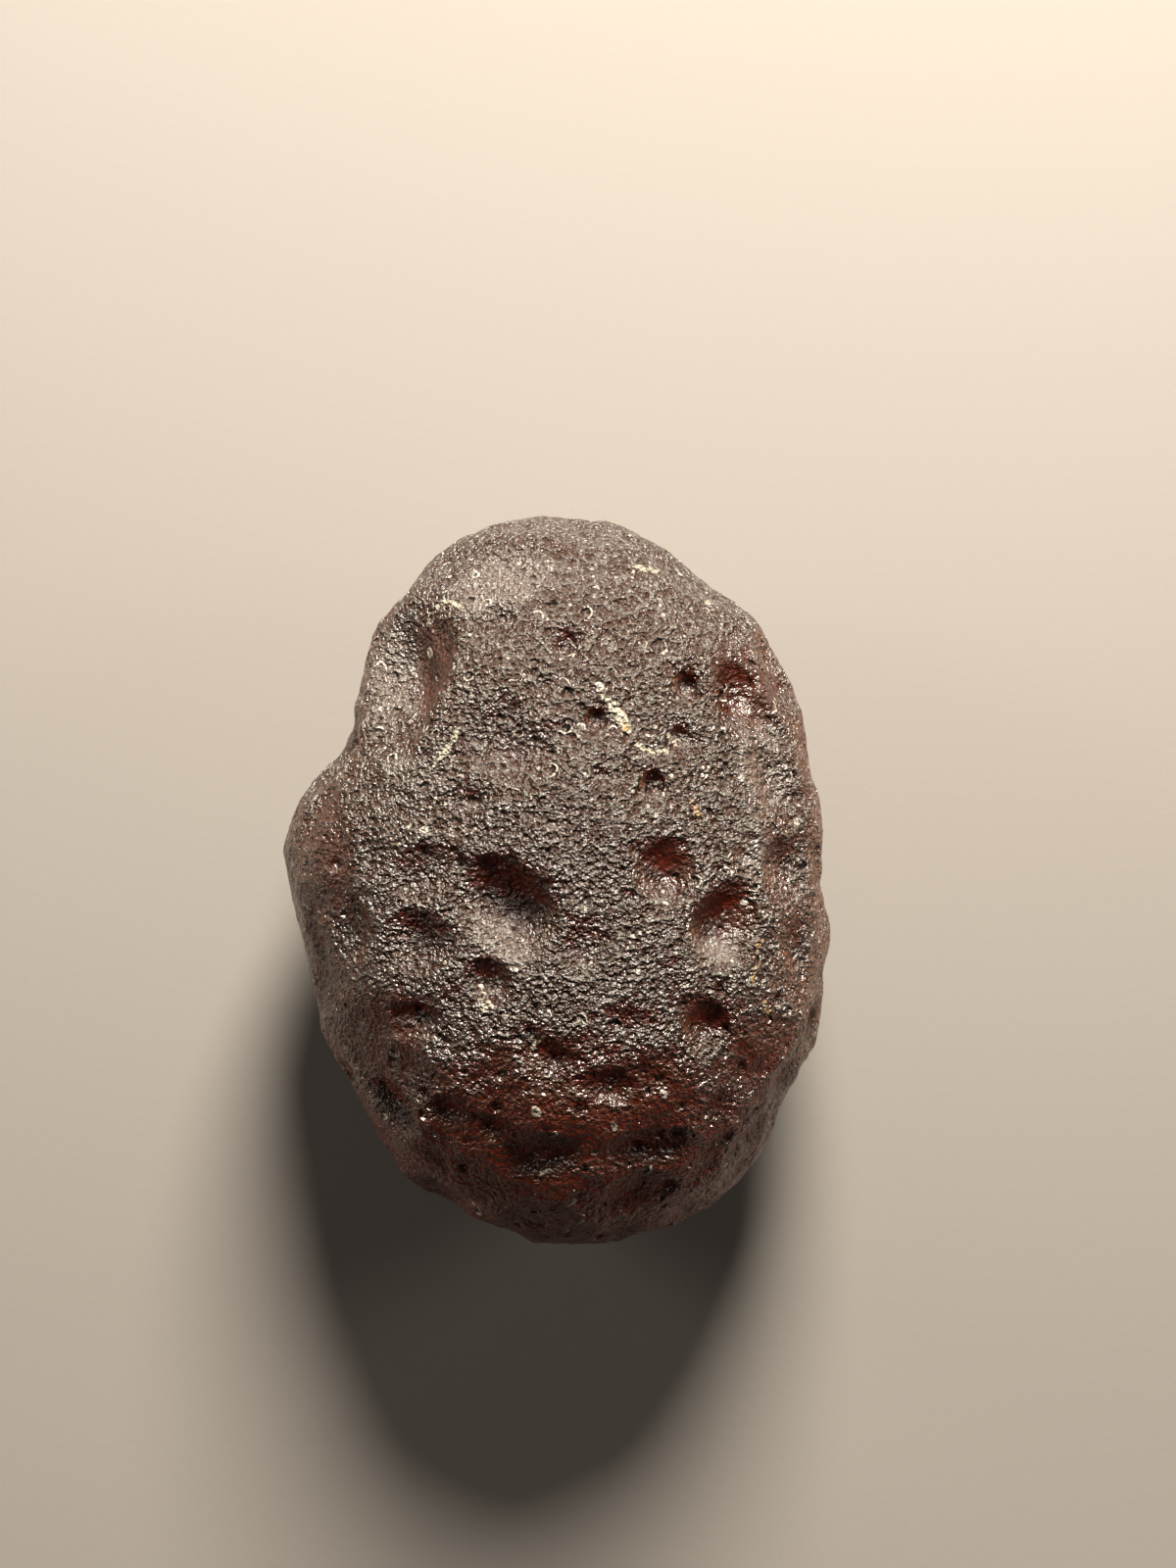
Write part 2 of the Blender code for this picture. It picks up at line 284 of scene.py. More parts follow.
def keep_attribute(piece, name, values):
    attribute = piece.data.attributes.new(name, "FLOAT", "POINT")
    attribute.data.foreach_set("value", values.astype(np.float32))


bpy.ops.object.duplicate()
smooth_copy = bpy.context.object
apply_modifier(smooth_copy, "SMOOTH", factor=SMOOTH_FACTOR, iterations=HOLLOW_SMOOTHING)
below = np.einsum("ij,ij->i", points_of(smooth_copy.data) - points_of(stone.data), normals_of(stone.data))
bpy.data.objects.remove(smooth_copy)
bpy.context.view_layer.objects.active = stone
stone.select_set(True)
print("below the smooth copy, mm:", np.percentile(below / MM, [1, 10, 50, 90, 99]).round(3))
hollow_share = np.clip(below / FULL_HOLLOW, -1, 1)
keep_attribute(stone, "hollow", hollow_share)

# %% [markdown]
# ## Unevenness of the skin
#
# Between the hollows the skin isn't smooth but lumpy, with shallow dents side by side that meet in low
# ridges. A sculptor would add them with a stamp. Here four Displace modifiers do it, each with a texture:
# clouds of three sizes for the lumps, and a cell texture, which rises from the middle of each cell to its
# edge, for the dents. A vertex group holds the modifiers back inside the hollows, where the skin is
# smoother, and fades them out towards the flat spot, which stays flat.

# %% Lumps and dents
FOOT_ZONE = 0.9 * MM
GRIP_IN_HOLLOWS = 0.6
WEIGHT_STEPS = 100
# Kind of texture, size of one lump, full height and further texture settings
LUMPS = [
    ("CLOUDS", 2.6 * MM, 0.34 * MM, {"noise_depth": 1}),
    ("CLOUDS", 1.2 * MM, 0.17 * MM, {"noise_depth": 2}),
    ("VORONOI", 1.0 * MM, 0.10 * MM, {}),
    ("CLOUDS", 0.55 * MM, 0.07 * MM, {"noise_depth": 1}),
]
off_foot = np.clip(points_of(stone.data)[:, 2] / FOOT_ZONE, 0, 1)


def keep_group(piece, name, weights):
    """A vertex group from one weight for each vertex, in WEIGHT_STEPS equal steps from 0 to 1."""
    group = piece.vertex_groups.new(name=name)
    steps = (weights * WEIGHT_STEPS).round().astype(int)
    for step in np.unique(steps):
        group.add(np.flatnonzero(steps == step).tolist(), step / WEIGHT_STEPS, "REPLACE")


keep_group(stone, "between", (1 - GRIP_IN_HOLLOWS * np.clip(hollow_share, 0, 1)) * off_foot)
for kind, size, depth, settings in LUMPS:
    texture = bpy.data.textures.new("lumps", kind)
    texture.noise_scale = size
    for name, value in settings.items():
        setattr(texture, name, value)
    apply_modifier(
        stone, "DISPLACE", texture=texture, texture_coords="LOCAL", strength=depth, vertex_group="between"
    )
lumpy = points_of(stone.data) / MM
print("box after the lumps, mm:", lumpy.min(0).round(2), lumpy.max(0).round(2))

# %% [markdown]
# ## Places as seen from above
#
# The rest of the skin is known from one side, so its places are given as they are seen from the camera, in
# millimetres from the stone's middle. A point low on the stone is further away and looks nearer to the
# middle of the picture than it is, so each vertex gets its seen place. A patch is an ellipse of such places
# with a soft edge.

# %% Seen places


def seen_places(piece):
    """Where the piece's vertices appear from the camera, in mm at the height of the widest outline."""
    eye = np.array(camera.location)
    points = points_of(piece.data)
    scale = CAMERA_ABOVE / (eye[2] - points[:, 2])
    return ((points[:, :2] - eye[:2]) * scale[:, None] + eye[:2]) / MM


def patch_reach(seen, patch):
    """How far each seen place is from a patch's middle: 0 in the middle and 1 on the ellipse."""
    x, y, half_width, half_length, turn = patch
    cos, sin = math.cos(math.radians(turn)), math.sin(math.radians(turn))
    across, along = (seen - (x, y)).T
    return np.hypot((across * cos + along * sin) / half_width, (along * cos - across * sin) / half_length)


# %% [markdown]
# ## Deeper hollows
#
# Three of the hollows have a steeper wall than the solid gives them: the scoop near the left edge, the head
# of the groove at the right and the slanting hollow in the middle. A soft round brush would press them in.
# A vertex group with the brush's profile and a Displace modifier without a texture do the same.

# %% Deeper hollows
BRUSH_DEPTH = 0.5 * MM
CLEARLY_UP = 0.2  # least upward part of a normal that a brush or a known pit needs
# Middle x and y, half width, half length and turn of the brush, and its share of the depth
BRUSHES = [
    ((-7.1, 9.8, 1.9, 2.9, 12), 0.9),
    ((8.4, 8.4, 1.7, 2.4, 15), 1.0),
    ((-1.9, -0.9, 2.9, 2.0, -35), 0.5),
]
seen = seen_places(stone)
upper_side = normals_of(stone.data)[:, 2] > CLEARLY_UP
pressed = np.zeros(len(seen))
for brush, share in BRUSHES:
    profile = np.clip(1 - patch_reach(seen, brush) ** 2, 0, 1) ** 2
    pressed = np.maximum(pressed, share * profile * upper_side)
keep_group(stone, "brushes", pressed)
apply_modifier(stone, "DISPLACE", strength=-BRUSH_DEPTH, mid_level=0.0, vertex_group="brushes")
print("vertices pressed in:", int((pressed > 0).sum()))

# %% [markdown]
# ## Small pits
#
# Between the hollows lie small round pits with steep walls and sharp lips, from a third of a millimetre to
# a millimetre across. Twenty are large enough to be known one by one, so each has its place. The rest come
# from a seeded random draw all over the stone. All of them go into one vertex group, whose weight is the
# depth.

# %% Small pits
# Seen place in mm and radius in mm
KNOWN_PITS = [
    (0.34, 10.95, 0.55), (-0.56, 9.05, 0.34), (6.01, 8.92, 0.45), (5.47, 9.68, 0.32), (1.78, 7.43, 0.46),
    (0.16, 6.89, 0.34), (5.56, 6.58, 0.42), (6.15, 6.22, 0.36), (4.35, 4.50, 0.56), (2.00, 4.86, 0.34),
    (7.41, 2.70, 0.34), (8.76, 1.80, 0.38), (8.27, 0.59, 0.34), (5.47, -11.60, 0.40), (-2.30, 12.1, 0.30),
    (-3.10, 10.2, 0.28), (2.60, 12.6, 0.30), (3.90, 11.2, 0.26), (-1.90, 7.9, 0.28), (-6.1, 1.4, 0.30),
]
CHANCE_PITS = 420
CHANCE_SEED = 7
LEAST_RADIUS, MOST_RADIUS = 0.17 * MM, 0.39 * MM
FAVOUR_SMALL = 3  # the power that makes small ones the most common
HOLLOW_LIMIT = 0.5  # chance pits keep out of hollows deeper than this share
DEEPEST_PIT = 0.45 * MM
DEPTH_BY_RADIUS = 0.45

points, seen = points_of(stone.data), seen_places(stone)
pits = []
for x, y, radius in KNOWN_PITS:
    gap = np.where(upper_side, np.linalg.norm(seen - (x, y), axis=1), np.inf)
    pits.append((points[gap.argmin()], radius * MM))
chooser = np.random.default_rng(CHANCE_SEED)
free_places = np.flatnonzero((hollow_share < HOLLOW_LIMIT) & (off_foot == 1))
chosen = chooser.choice(free_places, CHANCE_PITS, replace=False)
for place, share in zip(chosen, chooser.random(CHANCE_PITS)):
    pits.append((points[place], LEAST_RADIUS + (MOST_RADIUS - LEAST_RADIUS) * share ** FAVOUR_SMALL))
pit_depth = np.zeros(len(points))
for middle, radius in pits:
    near = np.flatnonzero(np.abs(points - middle).max(axis=1) < radius)
    reach = np.linalg.norm(points[near] - middle, axis=1) / radius
    bowl = np.sqrt(np.clip(1 - reach ** 2, 0, 1)) * radius * DEPTH_BY_RADIUS
    pit_depth[near] = np.maximum(pit_depth[near], bowl)
keep_group(stone, "pits", pit_depth / DEEPEST_PIT)
apply_modifier(stone, "DISPLACE", strength=-DEEPEST_PIT, mid_level=0.0, vertex_group="pits")
print("pits:", len(pits), "deepest, mm:", round(pit_depth.max() / MM, 2))

# %% [markdown]
# ## Frosted and bare patches, painted sheen, shade and glow
#
# The etched skin isn't even. Some shallow basins are frosted pale. They lie on walls that face the light, so
# their pale colour is partly a painted sheen. In other places the grain is worn off, so that bare dark glass
# shows. These patches lie on shaded walls and over the near end, so their darkness is partly painted shade.
# Walls that face the near end get a painted dark red glow in place of light through the glass, and the steep
# rim, most towards the near end, a painted brown glow. Each becomes an attribute of the mesh, and the
# material reads them all.

# %% Patches, painted sheen, shade and glow
# The frosted patches lie on walls that face the light, so their pale colour is partly real frost and partly
# painted sheen.
# Middle x and y, half width, half length and turn of each patch
FROST_AND_SHEEN_PATCHES = [
    (-8.2, 9.6, 1.7, 2.4, 15),
    (9.4, 5.2, 1.0, 1.8, 20),
    (-2.5, 13.6, 2.2, 1.2, 20),
    (-6.2, 5.0, 1.3, 0.7, -20),
    (9.0, 1.2, 0.8, 1.4, 0),
    (-2.6, -2.9, 1.7, 0.8, -35),
    (7.1, -3.4, 1.2, 0.6, 10),
]
# The bare patches lie on shaded walls and over the near end, so their darkness is partly worn glass and
# partly painted shade.
BARE_AND_SHADE_PATCHES = [
    (8.5, 8.8, 1.3, 1.8, 15),
    (-5.6, 10.0, 0.8, 2.0, -10),
    (5.4, 0.7, 0.8, 0.9, 0),
    (8.0, -1.5, 1.3, 1.0, 0),
    (6.9, -6.3, 1.1, 0.9, 0),
    (9.3, -7.6, 1.2, 1.8, -20),
    (-7.8, -7.2, 1.5, 2.2, 20),
    (-10.4, 1.0, 0.9, 2.6, 0),
    (-2.6, -12.6, 2.2, 1.6, 10),
    (2.4, -13.6, 3.0, 1.6, -10),
    (0.0, -13.5, 10.5, 5.0, 0),
]
SOFT_EDGE = 1.6
BARELY_UP = 0.05  # least upward part of a normal that a patch or a deposit needs
# The red glow and the rim's brown glow below are painted light. They are strongest on walls that face the
# near end, away from the main light.
# Straight lines over a part of the normal, as the value at 0 and the slope
PAINTED_GLOW_LINE = (-0.36, 2)
STEEP_LINE = (1.25, -1.6)
NEAR_END_LINE = (0.6, 0.9)
PAINTED_GLOW_EVERYWHERE = 0.6  # share of the glow that a wall outside a hollow has
FULL_PAINTED_GLOW = 0.5  # share of a hollow from which its glow is full


def cut_line(values, line):
    """A straight line over the values, cut off at 0 and 1."""
    at_zero, slope = line
    return np.clip(at_zero + slope * values, 0, 1)


seen, normals = seen_places(stone), normals_of(stone.data)
upper_side = normals[:, 2] > BARELY_UP
for name, places in (("frost_and_painted_sheen", FROST_AND_SHEEN_PATCHES), ("bare_and_painted_shade", BARE_AND_SHADE_PATCHES)):
    inside = [np.clip(SOFT_EDGE - patch_reach(seen, patch), 0, 1) for patch in places]
    keep_attribute(stone, name, np.max(inside, axis=0) * upper_side)
to_near_end = -normals[:, 1]
in_hollow = np.clip(hollow_share / FULL_PAINTED_GLOW, 0, 1)
painted_glow_share = PAINTED_GLOW_EVERYWHERE + (1 - PAINTED_GLOW_EVERYWHERE) * in_hollow
# Painted glow: dark red painted on walls that face the near end, fullest in hollows, in place of light
# through the glass.
keep_attribute(stone, "painted_glow", cut_line(to_near_end, PAINTED_GLOW_LINE) * painted_glow_share)
# Painted rim glow: brown painted on steep walls, most on those that face the near end, in place of light
# through thin glass.
steep = cut_line(np.abs(normals[:, 2]), STEEP_LINE)
keep_attribute(stone, "rim", steep * cut_line(to_near_end, NEAR_END_LINE))
print("patches:", len(FROST_AND_SHEEN_PATCHES), "frosted and", len(BARE_AND_SHADE_PATCHES), "bare_and_painted_shade")

# %% [markdown]
# ## Deposits
#
# Clay and iron stains from the soil sit in some pits as cream and ochre crusts, a few of them in curved
# strokes that trace the edge of a pit. They are only a film, so they are painted and not raised. Each
# stroke is a short list of seen places with the half width of the crust there. The distance of each vertex
# from the nearest stroke is kept as an attribute, and the material turns what is close into crust, with a
# ragged edge.

# %% Deposit strokes
CRUST_REACH = 0.8
# Points along each stroke: seen place and half width, all in mm
CREAM_STROKES = [
    [(2.1, 8.5, 0.10), (2.5, 8.0, 0.21), (3.0, 7.4, 0.26), (3.3, 6.9, 0.16)],
    [(-4.6, 6.9, 0.10), (-4.9, 6.3, 0.12), (-5.2, 5.8, 0.13), (-5.8, 5.1, 0.08)],
    [(-5.8, 12.4, 0.08), (-5.1, 12.9, 0.10), (-4.3, 12.5, 0.08)],
    [(-3.5, -5.0, 0.08), (-3.1, -5.8, 0.13), (-3.3, -6.0, 0.10), (-3.5, -5.6, 0.08)],
    [(-1.1, -7.2, 0.08), (-1.1, -7.8, 0.13)],
    [(-2.2, -6.8, 0.06), (-2.3, -7.4, 0.08)],
    [(3.7, 6.2, 0.10), (4.4, 5.9, 0.10), (5.0, 6.0, 0.10)],
    [(5.2, 6.6, 0.14), (5.5, 6.3, 0.13)],
    [(3.4, 14.4, 0.08), (4.6, 14.2, 0.10)],
    [(6.9, 12.8, 0.11), (7.0, 12.7, 0.08)],
    [(-6.9, 2.5, 0.11), (-6.7, 2.4, 0.10)],
    [(-0.5, -13.4, 0.11), (-0.7, -13.4, 0.08)],
    [(8.5, -12.1, 0.18), (8.6, -12.4, 0.14)],
    [(0.9, -6.5, 0.08), (0.8, -6.6, 0.08)],
    [(5.2, -6.8, 0.08), (5.3, -6.9, 0.06)],
    [(3.7, -2.1, 0.06), (3.5, -2.5, 0.06)],
    [(-3.7, 7.3, 0.06), (-3.6, 7.2, 0.05)],
    [(-2.6, 6.4, 0.08), (-2.5, 6.3, 0.06)],
    [(-8.7, -0.7, 0.10), (-8.6, -0.8, 0.06)],
    [(-0.6, 9.4, 0.06), (-0.5, 9.2, 0.06)],
]
OCHRE_STROKES = [
    [(3.1, 7.1, 0.13), (3.15, 7.0, 0.11)],
    [(-0.7, -7.2, 0.11), (-0.75, -7.4, 0.10)],
    [(6.1, 3.7, 0.07), (6.3, 3.4, 0.10), (6.6, 2.9, 0.07)],
    [(9.3, -2.8, 0.08), (8.9, -4.8, 0.06)],
    [(9.5, -5.5, 0.08), (9.7, -6.4, 0.06)],
]


def stroke_distance(strokes):
    """How far each vertex is from the nearest stroke's edge, as seen. It is 1 from CRUST_REACH on."""
    nearest = np.full(len(seen), CRUST_REACH)
    for stroke in strokes:
        for start, end in zip(stroke[:-1], stroke[1:]):
            run = np.subtract(end[:2], start[:2])
            along = np.clip((seen - start[:2]) @ run / (run @ run), 0, 1)
            half_width = start[2] + along * (end[2] - start[2])
            gap = np.linalg.norm(seen - start[:2] - along[:, None] * run, axis=1) - half_width
            nearest = np.minimum(nearest, gap)
    return np.where(upper_side, nearest, CRUST_REACH) / CRUST_REACH


keep_attribute(stone, "cream", stroke_distance(CREAM_STROKES))
keep_attribute(stone, "ochre", stroke_distance(OCHRE_STROKES))
print("strokes:", len(CREAM_STROKES) + len(OCHRE_STROKES))

# %% [markdown]
# ## Fewer faces
#
# The even mesh has more triangles than a library part should carry, and the flat spot and the smooth walls
# need few. A Decimate modifier takes away the ones that change the shape least. The attributes stay with
# what is left.

# %% Fewer faces
MOST_TRIANGLES = 190000
stone.vertex_groups.clear()
stone.data.calc_loop_triangles()
apply_modifier(stone, "DECIMATE", ratio=MOST_TRIANGLES / len(stone.data.loop_triangles))
stone.data.calc_loop_triangles()
print("triangles:", len(stone.data.loop_triangles))

# %% [markdown]
# ## The glass
#
# The stone is natural glass, chilled from a melt and then etched by acids in the soil. The glass is smoky
# brown and lets little light through. The etching gave it a skin of grain, so it has no mirror shine: each
# tiny slope catches the light by itself, which looks like silver strokes over red-brown darkness.
#
# The material starts from the marks on the mesh. A slow noise makes their edges uneven, as etching does.

# %% Glass: marks and patches
PATCH_WIDTH = 2.0 * MM
# For each mark: how far the noise shifts its edge, where it starts and where it is full
MARK_EDGES = {"hollow": (0.5, 0.35, 1.05), "frost_and_painted_sheen": (1.2, 0.7, 1.6), "bare_and_painted_shade": (1.7, 0.98, 1.85)}

glass, glass_out = new_material("natural_glass")
coords = add_node(glass, "ShaderNodeTexCoord").outputs["Object"]
patchy = add_node(
    glass, "ShaderNodeTexNoise", Vector=coords, Scale=1 / PATCH_WIDTH, Detail=2.0
).outputs["Fac"]
area = {}
for name in ("hollow", "frost_and_painted_sheen", "bare_and_painted_shade", "painted_glow", "rim", "cream", "ochre"):
    area[name] = add_node(glass, "ShaderNodeAttribute", {"attribute_name": name}).outputs["Fac"]
for name, (shift, low, high) in MARK_EDGES.items():
    uneven = add_node(
        glass, "ShaderNodeMath", {"operation": "MULTIPLY_ADD"}, _0=patchy, _1=shift, _2=area[name]
    )
    area[name] = add_node(
        glass, "ShaderNodeMapRange", {"interpolation_type": "SMOOTHSTEP"},
        Value=uneven.outputs[0], From_Min=low, From_Max=high,
    ).outputs["Result"]


def thinned(value, kept):
    """value, weakened in the named areas. kept gives the share that stays in each."""
    for name, share in kept.items():
        left = add_node(
            glass, "ShaderNodeMath", {"operation": "MULTIPLY_ADD"}, _0=area[name], _1=share - 1, _2=1.0
        ).outputs[0]
        value = add_node(glass, "ShaderNodeMath", {"operation": "MULTIPLY"}, _0=value, _1=left).outputs[0]
    return value


# %% [markdown]
# ## The grain
#
# The spots of the real grain are about a tenth of a millimetre wide. It could be modelled only with millions
# of faces, so it is a noise here. A cell of the noise is twice as wide as the spots that it makes, so it is
# 0.20 mm. Tiny dimples side by side are added to it, because the ridges between them are sharp.

# %% Glass: grain
GRAIN_WIDTH = 0.20 * MM
DIMPLE_WIDTH = 0.36 * MM
DIMPLE_SHARE = 0.40
GRAIN_KEPT = {"hollow": 0.75, "frost_and_painted_sheen": 0.85, "bare_and_painted_shade": 0.46, "painted_glow": 0.70}

noise = add_node(glass, "ShaderNodeTexNoise", Vector=coords, Scale=1 / GRAIN_WIDTH, Detail=1.5, Roughness=0.6)
dimples = add_node(glass, "ShaderNodeTexVoronoi", Vector=coords, Scale=1 / DIMPLE_WIDTH)
grain = add_node(
    glass, "ShaderNodeMath", {"operation": "MULTIPLY_ADD"},
    _0=dimples.outputs["Distance"], _1=DIMPLE_SHARE, _2=noise.outputs["Fac"],
).outputs[0]
height = thinned(grain, GRAIN_KEPT)

# %% [markdown]
# ## Tiny pits
#
# Pits too small for the mesh are cells of a Voronoi texture: at most one pit in the middle of each cell,
# with a size by chance. A noise bends the cells, so that no pit is quite round.

# %% Glass: tiny pits
PIT_SPACING = 0.70 * MM
BEND_WIDTH, BEND = 0.6 * MM, 0.30 * MM
LEAST_PIT, PIT_RANGE = 0.10, 0.34
BOWL_FLOOR = 0.25  # share of a pit's radius that is its flat floor
PITS_SHARE = 0.8

bend = add_node(glass, "ShaderNodeTexNoise", Vector=coords, Scale=1 / BEND_WIDTH, Detail=0.0)
bent = add_node(
    glass, "ShaderNodeVectorMath", {"operation": "MULTIPLY_ADD"},
    _0=bend.outputs["Color"], _1=(BEND, BEND, BEND), _2=coords,
).outputs[0]
cells = add_node(glass, "ShaderNodeTexVoronoi", Vector=bent, Scale=1 / PIT_SPACING)
chance = add_node(glass, "ShaderNodeSeparateColor", Color=cells.outputs["Color"])
squared = add_node(glass, "ShaderNodeMath", {"operation": "POWER"}, _0=chance.outputs[0], _1=2.0)
radius = add_node(
    glass, "ShaderNodeMath", {"operation": "MULTIPLY_ADD"}, _0=squared.outputs[0], _1=PIT_RANGE, _2=LEAST_PIT
).outputs[0]
from_middle = add_node(
    glass, "ShaderNodeMath", {"operation": "DIVIDE"}, _0=cells.outputs["Distance"], _1=radius
).outputs[0]
bowl = add_node(
    glass, "ShaderNodeMapRange", {"interpolation_type": "SMOOTHSTEP"},
    Value=from_middle, From_Min=BOWL_FLOOR, From_Max=1.0, To_Min=1.0, To_Max=0.0,
).outputs["Result"]
has_pit = add_node(glass, "ShaderNodeMath", {"operation": "LESS_THAN"}, _0=chance.outputs[1], _1=PITS_SHARE)
pit = add_node(glass, "ShaderNodeMath", {"operation": "MULTIPLY"}, _0=bowl, _1=has_pit.outputs[0])
pit = add_node(glass, "ShaderNodeMath", {"operation": "MULTIPLY"}, _0=pit.outputs[0], _1=radius).outputs[0]

# %% [markdown]
# ## Pale lips
#
# Some tiny pits have a lip of bruised glass round a part of the edge, which shows as a pale crescent. It is
# a ring where the distance from the pit's middle is about its radius. Each cell of the texture has a colour
# by chance, which is read here as a direction, and only the side of the ring that lies that way is kept.

# %% Glass: pale lips
LIP_FULL, LIP_END = 0.08, 0.30  # shares of the radius, either way from the edge
SIDE_START, SIDE_FULL = 0.02 * MM, 0.08 * MM
LIPS_SHARE = 0.30

off_edge = add_node(glass, "ShaderNodeMath", {"operation": "SUBTRACT"}, _0=from_middle, _1=1.0)
off_edge = add_node(glass, "ShaderNodeMath", {"operation": "ABSOLUTE"}, _0=off_edge.outputs[0])
ring = add_node(
    glass, "ShaderNodeMapRange", {"interpolation_type": "SMOOTHSTEP"},
    Value=off_edge.outputs[0], From_Min=LIP_FULL, From_Max=LIP_END, To_Min=1.0, To_Max=0.0,
).outputs["Result"]
to_point = add_node(
    glass, "ShaderNodeVectorMath", {"operation": "SUBTRACT"}, _0=bent, _1=cells.outputs["Position"]
)
way = add_node(
    glass, "ShaderNodeVectorMath", {"operation": "MULTIPLY_ADD"},
    _0=cells.outputs["Color"], _1=(2.0, 2.0, 2.0), _2=(-1.0, -1.0, -1.0),
)
side = add_node(
    glass, "ShaderNodeVectorMath", {"operation": "DOT_PRODUCT"}, _0=to_point.outputs[0], _1=way.outputs[0]
)
one_side = add_node(
    glass, "ShaderNodeMapRange", {"interpolation_type": "SMOOTHSTEP"},
    Value=side.outputs["Value"], From_Min=SIDE_START, From_Max=SIDE_FULL,
)
has_lip = add_node(glass, "ShaderNodeMath", {"operation": "LESS_THAN"}, _0=chance.outputs[2], _1=LIPS_SHARE)
lip = add_node(glass, "ShaderNodeMath", {"operation": "MULTIPLY"}, _0=ring, _1=one_side.outputs["Result"])
lip = add_node(
    glass, "ShaderNodeMath", {"operation": "MULTIPLY"}, _0=lip.outputs[0], _1=has_lip.outputs[0]
).outputs[0]

# %% [markdown]
# ## Specks
#
# Grains of dust and bruises a tenth of a millimetre wide lie all over the skin, fewer on the bare patches,
# which also carry painted shade. They are cells of a second Voronoi texture, and chance picks two in five of
# them.

# %% Glass: specks
SPECK_SPACING = 0.34 * MM
LEAST_SPECK, SPECK_RANGE = 0.08, 0.20
SPECKS_SHARE = 0.40
SPECKS_KEPT = {"bare_and_painted_shade": 0.35}

dust = add_node(glass, "ShaderNodeTexVoronoi", Vector=coords, Scale=1 / SPECK_SPACING)
dust_chance = add_node(glass, "ShaderNodeSeparateColor", Color=dust.outputs["Color"])
speck_size = add_node(
    glass, "ShaderNodeMath", {"operation": "MULTIPLY_ADD"},
    _0=dust_chance.outputs[0], _1=SPECK_RANGE, _2=LEAST_SPECK,
)
in_speck = add_node(
    glass, "ShaderNodeMath", {"operation": "LESS_THAN"}, _0=dust.outputs["Distance"], _1=speck_size.outputs[0]
)
has_speck = add_node(
    glass, "ShaderNodeMath", {"operation": "LESS_THAN"}, _0=dust_chance.outputs[1], _1=SPECKS_SHARE
)
speck = add_node(
    glass, "ShaderNodeMath", {"operation": "MULTIPLY"}, _0=in_speck.outputs[0], _1=has_speck.outputs[0]
)
speck = thinned(speck.outputs[0], SPECKS_KEPT)

# %% [markdown]
# ## Crusts
#
# The crust attributes are distances from a stroke. A noise added to them makes the edge ragged, and a steep
# step makes it a crust. Dried clay is matt and uneven in colour, so the same noise also varies its shade.

# %% Glass: crusts
RAGGED_WIDTH = 0.30 * MM
RAGGED_SHIFT = 0.9
RAGGED_MIDDLE = 0.47
CRUST_STEP = 0.06

ragged = add_node(
    glass, "ShaderNodeTexNoise", Vector=coords, Scale=1 / RAGGED_WIDTH, Detail=2.0
).outputs["Fac"]
crust_edge = RAGGED_SHIFT * RAGGED_MIDDLE
crust = {}
for name in ("cream", "ochre"):
    gap = add_node(
        glass, "ShaderNodeMath", {"operation": "MULTIPLY_ADD"}, _0=ragged, _1=RAGGED_SHIFT, _2=area[name]
    )
    crust[name] = add_node(
        glass, "ShaderNodeMapRange", {"interpolation_type": "SMOOTHSTEP"}, Value=gap.outputs[0],
        From_Min=crust_edge - CRUST_STEP, From_Max=crust_edge + CRUST_STEP, To_Min=1.0, To_Max=0.0,
    ).outputs["Result"]
any_crust = add_node(
    glass, "ShaderNodeMath", {"operation": "MAXIMUM"}, _0=crust["cream"], _1=crust["ochre"]
).outputs[0]

# %% [markdown]
# ## Relief
#
# Everything finer than the mesh is added up to one height, and a Bump node turns it into slopes. Specks and
# crusts are only colour, so they stay out of it.

# %% Glass: relief
RELIEF_DEPTH = 0.43 * MM
PIT_DROP, LIP_RISE = -1.8, 0.15

for part, rise in ((pit, PIT_DROP), (lip, LIP_RISE)):
    height = add_node(
        glass, "ShaderNodeMath", {"operation": "MULTIPLY_ADD"}, _0=part, _1=rise, _2=height
    ).outputs[0]
relief = add_node(glass, "ShaderNodeBump", Height=height, Distance=RELIEF_DEPTH, Strength=1.0)

# %% [markdown]
# ## Colour
#
# The colour is laid on in thin layers, as a painter would glaze a model. The dark red-brown body comes
# first, then the deeper hollows, the painted brown glow of the rim, the bare glass with painted shade and the
# painted red glow. Frost and dust on the crests of the grain and the pale frost, partly painted sheen, go
# over them, and lips, specks and crusts come last.

# %% Glass: colour
BODY_COLOUR = "#281409"
DARK_CLAY, PALE_CLAY = "#53493a", "#aba087"
CREST_START, CREST_FULL = 0.60, 0.95
CRESTS_KEPT = {"painted_glow": 0.35, "bare_and_painted_shade": 0.25}
FROST_AND_SHEEN_KEPT = {"painted_glow": 0.0}

crest = add_node(
    glass, "ShaderNodeMapRange", {"interpolation_type": "SMOOTHSTEP"},
    Value=grain, From_Min=CREST_START, From_Max=CREST_FULL,
)
crest = thinned(crest.outputs["Result"], CRESTS_KEPT)
clay = add_node(
    glass, "ShaderNodeMix", {"data_type": "RGBA"}, _0=ragged, _6=linear(DARK_CLAY), _7=linear(PALE_CLAY)
).outputs[2]
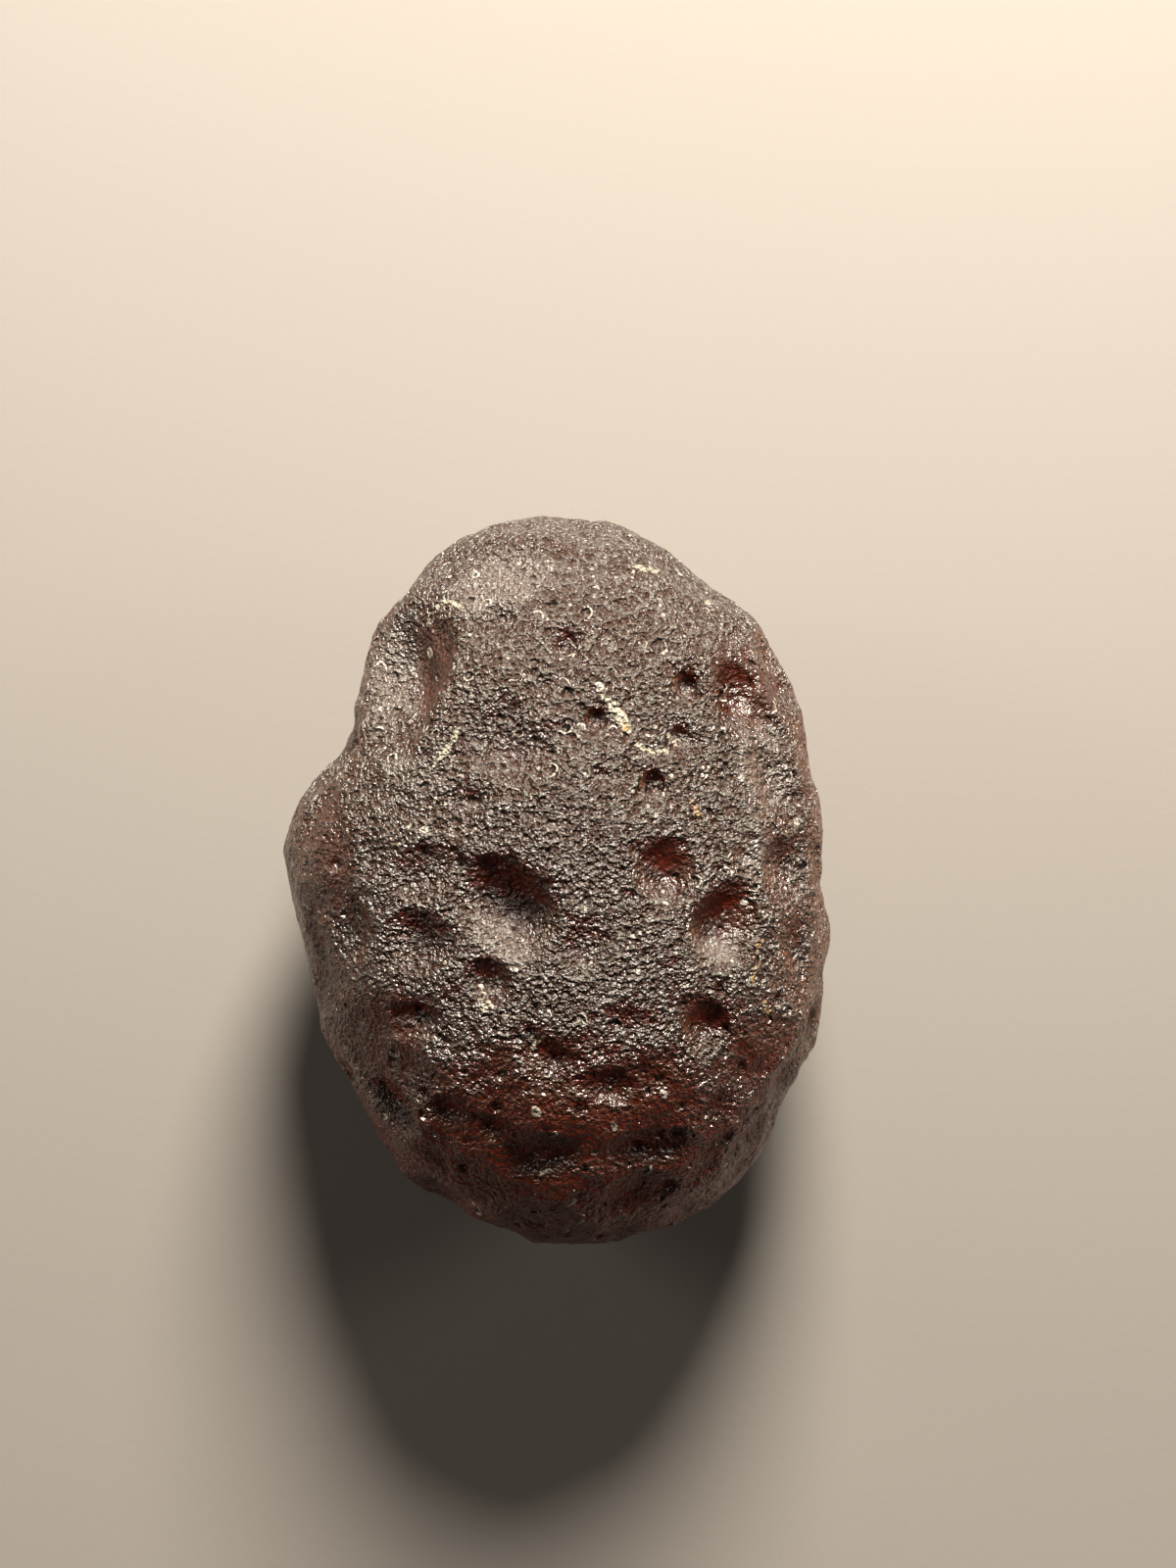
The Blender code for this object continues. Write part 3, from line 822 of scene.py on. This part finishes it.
# Where each layer lies, how much it covers, and its colour
LAYERS = [
    (area["hollow"], 1.0, linear("#270d05")),
    # painted brown glow of the rim, in place of light through thin glass
    (area["rim"], 0.9, linear("#794222")),
    # bare glass, darker: partly worn glass, partly painted shade on shaded walls and the near end
    (area["bare_and_painted_shade"], 0.7, linear("#34160a")),
    # painted dark red glow on walls that face the near end
    (area["painted_glow"], 0.85, linear("#762009")),
    (crest, 0.50, linear("#635d54")),
    # pale frost, partly painted sheen on walls that face the light
    (thinned(area["frost_and_painted_sheen"], FROST_AND_SHEEN_KEPT), 0.30, linear("#6b5f55")),
    (lip, 0.8, linear("#a39786")),
    (speck, 0.60, linear("#9f9384")),
    (crust["cream"], 1.0, clay),
    (crust["ochre"], 1.0, linear("#795b31")),
]
colour = linear(BODY_COLOUR)
for where, cover, layer in LAYERS:
    share = add_node(glass, "ShaderNodeMath", {"operation": "MULTIPLY"}, _0=where, _1=cover).outputs[0]
    colour = add_node(glass, "ShaderNodeMix", {"data_type": "RGBA"}, _0=share, _6=colour, _7=layer).outputs[2]
print("layers of colour:", len(LAYERS))

# %% [markdown]
# ## Gloss and light inside
#
# Glass reflects about 4% of the light and bends it with an index of 1.5. Etched glass scatters it a little,
# more in the hollows and on the frost, and a crust is matt. A part of the light enters, and the brown glass
# swallows it within a few millimetres: red goes furthest, so thin edges look warm.

# %% Glass: shader
GLASS_INDEX = 1.5
SMOOTHEST, ROUGHEST = 0.21, 0.30
# How much rougher the skin is in some places than its grain alone
ROUGHER = ((area["hollow"], 0.05), (area["frost_and_painted_sheen"], 0.05), (any_crust, 0.5))
SMOOTH_BELOW, ROUGH_ABOVE = 0.35, 0.65  # of the slow noise
CLEAR_SHARE = 0.14
SHINE_COLOUR = "#fffaf3"
LEFT_COLOUR, ABSORBED = "#d0602c", 420.0  # what the glass lets through, and how much it takes for each metre

roughness = add_node(
    glass, "ShaderNodeMapRange", {"interpolation_type": "SMOOTHSTEP"},
    Value=patchy, From_Min=SMOOTH_BELOW, From_Max=ROUGH_ABOVE, To_Min=SMOOTHEST, To_Max=ROUGHEST,
).outputs["Result"]
for where, rougher in ROUGHER:
    roughness = add_node(
        glass, "ShaderNodeMath", {"operation": "MULTIPLY_ADD"}, _0=where, _1=rougher, _2=roughness
    ).outputs[0]
shader = add_node(
    glass,
    "ShaderNodeBsdfPrincipled",
    Base_Color=colour,
    Roughness=roughness,
    IOR=GLASS_INDEX,
    Transmission_Weight=CLEAR_SHARE,
    Specular_Tint=linear(SHINE_COLOUR),
    Normal=relief.outputs["Normal"],
)
absorb = add_node(glass, "ShaderNodeVolumeAbsorption", Color=linear(LEFT_COLOUR), Density=ABSORBED)
glass.node_tree.links.new(shader.outputs["BSDF"], glass_out.inputs["Surface"])
glass.node_tree.links.new(absorb.outputs["Volume"], glass_out.inputs["Volume"])
stone.data.materials.clear()
stone.data.materials.append(glass)
print("nodes in the glass:", len(glass.node_tree.nodes))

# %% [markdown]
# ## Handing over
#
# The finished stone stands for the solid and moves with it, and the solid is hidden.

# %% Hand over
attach(stone, "root")
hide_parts("tektite")
